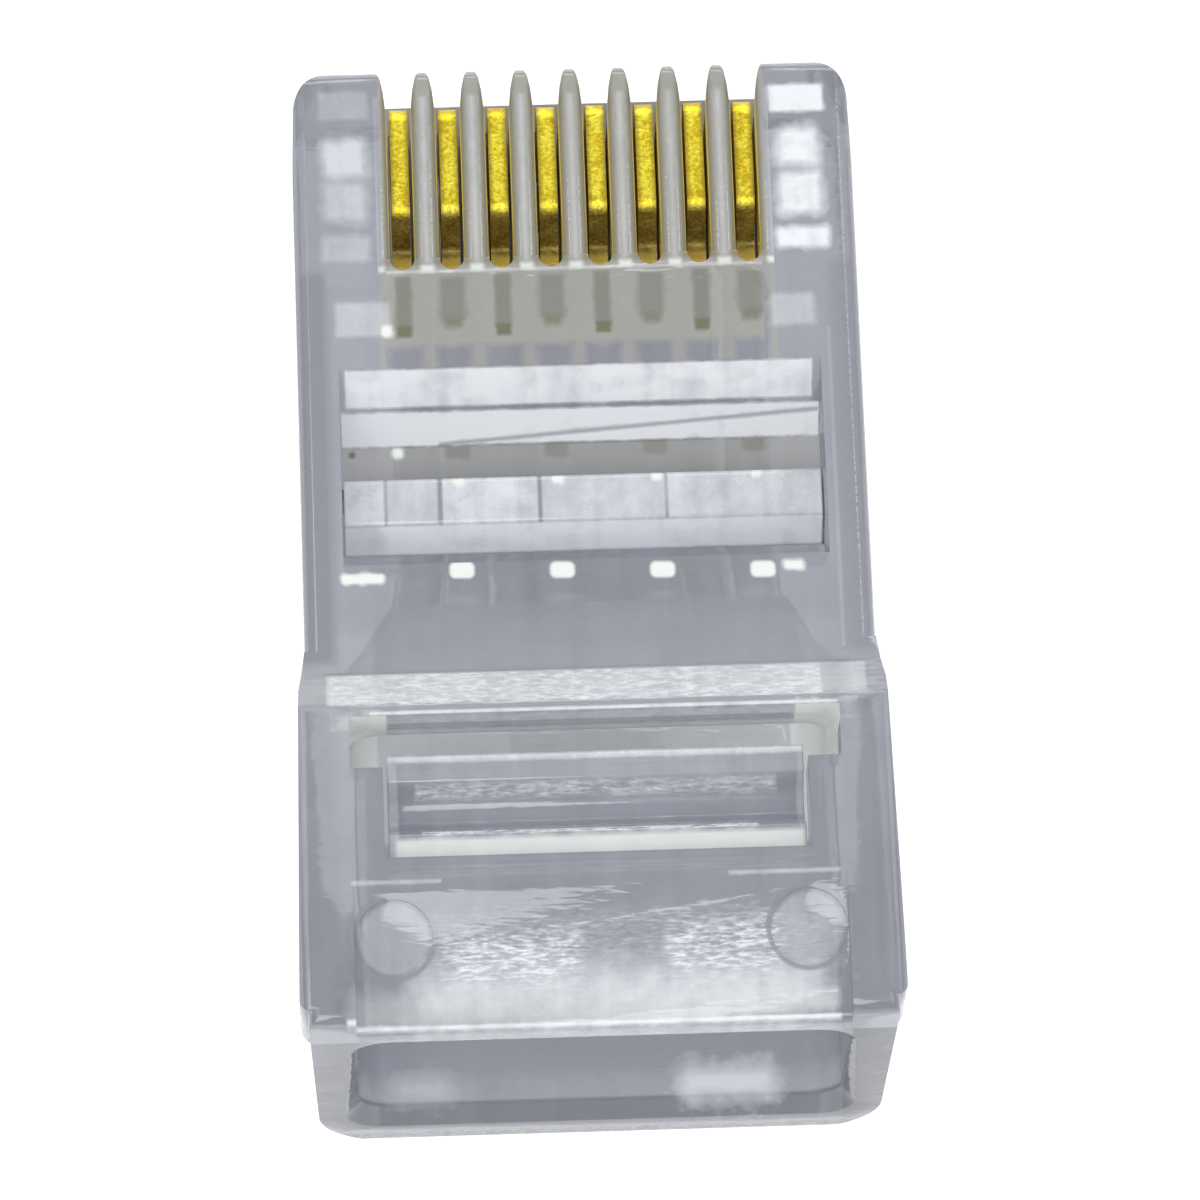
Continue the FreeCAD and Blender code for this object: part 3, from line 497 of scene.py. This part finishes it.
# cable clamp: frost with painted highlights on its front edge, land and groove sides, scuffs in the
# groove, and painted glow on its lip
CRIMP_PATCHES = [
    Patch("frost", (-5, 5), CRIMP_EDGE, (CRIMP_TOP - 0.3, RAISED), 0.8),
    Patch("frost", (-5, 5), CRIMP_LAND, (CRIMP_TOP - 0.2, RAISED), 0.2),
    Patch("scuffed", (-3.6, 3.6), (CRIMP_FRONT + 0.68, CRIMP_FRONT + 0.8), IN_GROOVE, 0.8),
    Patch("scuffed", (-3.5, 3.2), (CRIMP_BACK - 0.82, CRIMP_BACK - 0.76), IN_GROOVE, 2.0, 0.06),
    Patch("glow", (-4.0, 4.1), CRIMP_LIP, (CRIMP_TOP - 0.4, RAISED), 0.85, 0.14),
    Patch("frost", (-CRIMP_HALF, -4.02), (CRIMP_FRONT, CRIMP_BACK), IN_GROOVE, 0.45, 0.06),
    Patch("frost", (4.08, CRIMP_HALF), (CRIMP_FRONT, CRIMP_BACK), IN_GROOVE, 0.35, 0.06),
]


# Pieces


SAME_POINT = 1e-7                # metres
FLAT_BELOW = math.radians(1)     # faces that meet at a smaller angle become one
SMOOTH_BELOW = math.radians(40)  # edges that bend less are shaded smooth
ROLL_ABOVE = math.radians(28)    # edges that bend more are rolled over
ROLL_SEGMENTS = 2
MOULDED = [
    # node, body, patches, rings, radius of its rolled edges in mm
    ("housing", "plug", HOUSING_PATCHES, HOUSING_RINGS, 0.05),
    ("latch", "latch_arm", [], [], 0.05),
    ("cable_clamp", "cable_bar", CRIMP_PATCHES, [], 0.04),
    ("wire_clamp", "wire_bar", WIRE_BAR_PATCHES, [], 0.04),
]


def moulded(node, body, material, width):
    """A copy of a CAD node with its sharp edges rolled over by a small radius."""
    mesh = bpy.data.meshes.new(node + "_moulded")
    bm = bmesh.new()
    bm.from_mesh(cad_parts[node].data)
    bmesh.ops.remove_doubles(bm, verts=bm.verts, dist=SAME_POINT)
    bmesh.ops.dissolve_limit(bm, angle_limit=FLAT_BELOW, verts=bm.verts, edges=bm.edges)
    bm.to_mesh(mesh)
    bm.free()
    piece = bpy.data.objects.new(node + "_moulded", mesh)
    scene.collection.objects.link(piece)
    bevel = piece.modifiers.new("rolled_edges", "BEVEL")
    bevel.width = width * MM
    bevel.segments = ROLL_SEGMENTS
    bevel.limit_method = "ANGLE"
    bevel.angle_limit = ROLL_ABOVE
    bevel.use_clamp_overlap = True
    shown = piece.evaluated_get(bpy.context.evaluated_depsgraph_get())
    final = bpy.data.meshes.new_from_object(shown)
    piece.modifiers.clear()
    piece.data = final
    for face in final.polygons:
        face.use_smooth = True
    final.set_sharp_from_angle(angle=SMOOTH_BELOW)
    final.materials.clear()
    final.materials.append(material)
    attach(piece, body)
    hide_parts(node)
    return piece


metal = gold()
for node, body, patches, rings, roll in MOULDED:
    moulded(node, body, clear_plastic("clear_plastic_" + node, patches, rings), roll)
for name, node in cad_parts.items():
    if name.startswith("contact_"):
        node.data.materials.clear()
        node.data.materials.append(metal)


# Stage, light and camera

FLOOR_HALF = 0.6
FLOOR_GREY = (0.8, 0.8, 0.8, 1)
FLOOR_GLOW = 0.55
SKY, SKY_STRENGTH = (0.9, 0.92, 1.0, 1), 0.45
LAMP_AIM = (0, -0.01, 0)
LAMPS = [
    # name, place in m, size in m, watts, colour
    ("key", (-0.1, -0.17, 0.28), (0.22, 0.22), 0.6, (1, 1, 1)),
    ("fill", (0.28, -0.16, 0.2), (0.2, 0.2), 0.2, (0.93, 0.96, 1)),
    ("front", (0.02, 0.3, 0.2), (0.3, 0.15), 0.5, (1, 1, 1)),
]


def stage():
    """The floor, whose glow only the camera, reflections and refractions see, and the sky.

    The sky lights the plug, and the camera sees a plain pale one in its place.
    """
    mesh = bpy.data.meshes.new("floor")
    half, z = FLOOR_HALF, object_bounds()[0].z
    corners = [(-half, -half, z), (half, -half, z), (half, half, z), (-half, half, z)]
    mesh.from_pydata(corners, [], [(0, 1, 2, 3)])
    floor = bpy.data.objects.new("floor", mesh)
    scene.collection.objects.link(floor)
    n = Nodes("floor_white")
    path = n.add("LightPath")
    seen = n.math("MAXIMUM", path.outputs["Is Camera Ray"], path.outputs["Is Glossy Ray"])
    seen = n.math("MAXIMUM", seen, path.outputs["Is Transmission Ray"])
    matte = n.add("BsdfDiffuse", {"Color": FLOOR_GREY})
    strength = n.math("MULTIPLY", seen, FLOOR_GLOW)
    glow = n.add("Emission", {"Color": (1, 1, 1, 1), "Strength": strength})
    both = n.add("AddShader", {0: matte.outputs[0], 1: glow.outputs[0]})
    n.tree.links.new(both.outputs[0], n.out.inputs[0])
    mesh.materials.append(n.mat)
    floor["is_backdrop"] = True

    world = bpy.data.worlds.new("studio")
    scene.world = world
    world.use_nodes = True
    tree = world.node_tree
    tree.nodes.clear()
    out = tree.nodes.new("ShaderNodeOutputWorld")
    path = tree.nodes.new("ShaderNodeLightPath")
    soft = tree.nodes.new("ShaderNodeBackground")
    soft.inputs[0].default_value = SKY
    soft.inputs[1].default_value = SKY_STRENGTH
    shown = tree.nodes.new("ShaderNodeBackground")
    mix = tree.nodes.new("ShaderNodeMixShader")
    tree.links.new(path.outputs["Is Camera Ray"], mix.inputs[0])
    tree.links.new(soft.outputs[0], mix.inputs[1])
    tree.links.new(shown.outputs[0], mix.inputs[2])
    tree.links.new(mix.outputs[0], out.inputs[0])


def lamp(name, place, size, power, colour):
    data = bpy.data.lights.new(name, "AREA")
    data.shape = "RECTANGLE"
    data.size, data.size_y = size
    data.energy = power
    data.color = colour
    light = bpy.data.objects.new(name, data)
    light.location = place
    light.rotation_euler = (Vector(LAMP_AIM) - Vector(place)).to_track_quat("-Z", "Y").to_euler()
    scene.collection.objects.link(light)


SENSOR, FRAME = 36, 1200         # mm, pixels


def camera():
    """Looks down on the contact side from behind the cable end, slightly turned and rolled."""
    azimuth, elevation, roll = math.radians(4.9), math.radians(71), math.radians(-3.0)
    distance, scale = 173.7, 48.21    # mm, pixels per mm at the target
    shift = (-0.366, 0.407)           # mm, how far right and up the target sits, before the roll
    target = Vector((0, -10.2, 0))
    level = math.cos(elevation)
    back = Vector((-math.sin(azimuth) * level, -math.cos(azimuth) * level, math.sin(elevation)))
    right = Vector((math.cos(azimuth), -math.sin(azimuth), 0))
    right = (right - back * right.dot(back)).normalized()
    up = back.cross(right)
    place = target - right * shift[0] - up * shift[1] + back * distance
    c, s = math.cos(roll), math.sin(roll)
    right, up = right * c - up * s, right * s + up * c
    data = bpy.data.cameras.new("camera")
    data.sensor_width = SENSOR
    data.lens = scale * distance * SENSOR / FRAME
    data.clip_start, data.clip_end = 0.01, 10
    cam = bpy.data.objects.new("camera", data)
    rotation = Matrix((right, up, back)).transposed().to_4x4()
    cam.matrix_world = Matrix.Translation(place * MM) @ rotation
    scene.collection.objects.link(cam)
    scene.camera = cam


stage()
for spec in LAMPS:
    lamp(*spec)
camera()
